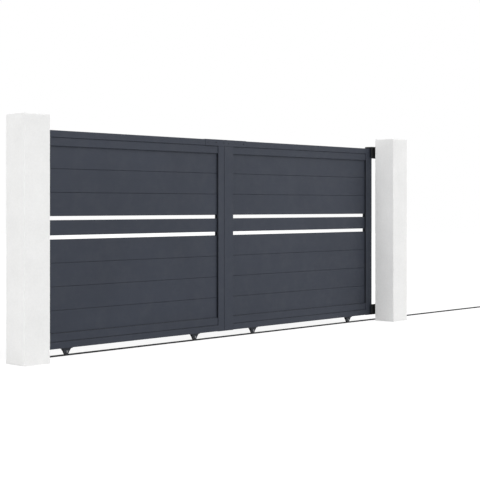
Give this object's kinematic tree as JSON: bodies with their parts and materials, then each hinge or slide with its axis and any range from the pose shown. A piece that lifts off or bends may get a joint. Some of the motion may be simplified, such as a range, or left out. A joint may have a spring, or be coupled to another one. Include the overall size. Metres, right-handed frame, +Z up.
{
  "type": "sliding driveway gate with posts",
  "caption": "Sliding driveway gate: slatted metal leaf on grooved wheels, ground track, two rendered posts, guides and catches.",
  "frame": {"origin": "centre of the left post's foot, on the ground", "axes": "+X along the gate, the way the leaf opens; +Y away from the road, towards the leaf; +Z up"},
  "size_m": [7.706, 0.304, 1.687],
  "materials": {
    "render": null,
    "leaf_coating": "dark grey powder coat, satin",
    "black_fittings": "black, slight sheen",
    "cap_plastic": "dark grey moulded plastic",
    "track_steel": "black painted steel, worn along the ridge",
    "bracket_steel": "dark grey painted steel",
    "wheel_steel": "turned steel, dark and oiled"
  },
  "bodies": {
    "frame": {"left_post": "render", "right_post": "render", "track_1": "track_steel", "track_2": "track_steel", "track_3": "track_steel", "track_4": "track_steel", "track_stop": "black_fittings", "top_guide": "black_fittings", "lower_guide": "black_fittings", "top_catch": "black_fittings", "lower_catch": "black_fittings"},
    "leaf": {"left_outer_stile": "leaf_coating", "left_meeting_stile": "leaf_coating", "left_top_rail": "leaf_coating", "left_bottom_rail": "leaf_coating", "left_lower_slat_1": "leaf_coating", "left_lower_slat_2": "leaf_coating", "left_lower_slat_3": "leaf_coating", "left_lower_slat_4": "leaf_coating", "left_narrow_slat": "leaf_coating", "left_upper_slat_1": "leaf_coating", "left_upper_slat_2": "leaf_coating", "left_upper_slat_3": "leaf_coating", "right_outer_stile": "leaf_coating", "right_meeting_stile": "leaf_coating", "right_top_rail": "leaf_coating", "right_bottom_rail": "leaf_coating", "right_lower_slat_1": "leaf_coating", "right_lower_slat_2": "leaf_coating", "right_lower_slat_3": "leaf_coating", "right_lower_slat_4": "leaf_coating", "right_narrow_slat": "leaf_coating", "right_upper_slat_1": "leaf_coating", "right_upper_slat_2": "leaf_coating", "right_upper_slat_3": "leaf_coating", "stile_caps": "cap_plastic", "top_joint_cover": "leaf_coating", "wheel_bracket_1": "bracket_steel", "wheel_bracket_2": "bracket_steel", "wheel_bracket_3": "bracket_steel", "wheel_bracket_4": "bracket_steel"},
    "wheel_1": {"wheel_1": "wheel_steel"},
    "wheel_2": {"wheel_2": "wheel_steel"},
    "wheel_3": {"wheel_3": "wheel_steel"},
    "wheel_4": {"wheel_4": "wheel_steel"}
  },
  "joints": [
    {"name": "leaf_slide", "type": "slide", "parent": "frame", "child": "leaf", "axis": [1, 0, 0], "range_m": [0, 3.8]},
    {"name": "wheel_1_spin", "type": "hinge", "parent": "leaf", "child": "wheel_1", "pos_m": [0.441, 0.16, 0.0278], "axis": [0, 1, 0], "continuous": true},
    {"name": "wheel_2_spin", "type": "hinge", "parent": "leaf", "child": "wheel_2", "pos_m": [1.705, 0.16, 0.0278], "axis": [0, 1, 0], "continuous": true},
    {"name": "wheel_3_spin", "type": "hinge", "parent": "leaf", "child": "wheel_3", "pos_m": [2.377, 0.16, 0.0278], "axis": [0, 1, 0], "continuous": true},
    {"name": "wheel_4_spin", "type": "hinge", "parent": "leaf", "child": "wheel_4", "pos_m": [3.641, 0.16, 0.0278], "axis": [0, 1, 0], "continuous": true}
  ],
  "couplings": [
    {"joint": "wheel_1_spin", "follows": "leaf_slide", "rad_per_m": 57.143},
    {"joint": "wheel_2_spin", "follows": "leaf_slide", "rad_per_m": 57.143},
    {"joint": "wheel_3_spin", "follows": "leaf_slide", "rad_per_m": 57.143},
    {"joint": "wheel_4_spin", "follows": "leaf_slide", "rad_per_m": 57.143}
  ]
}
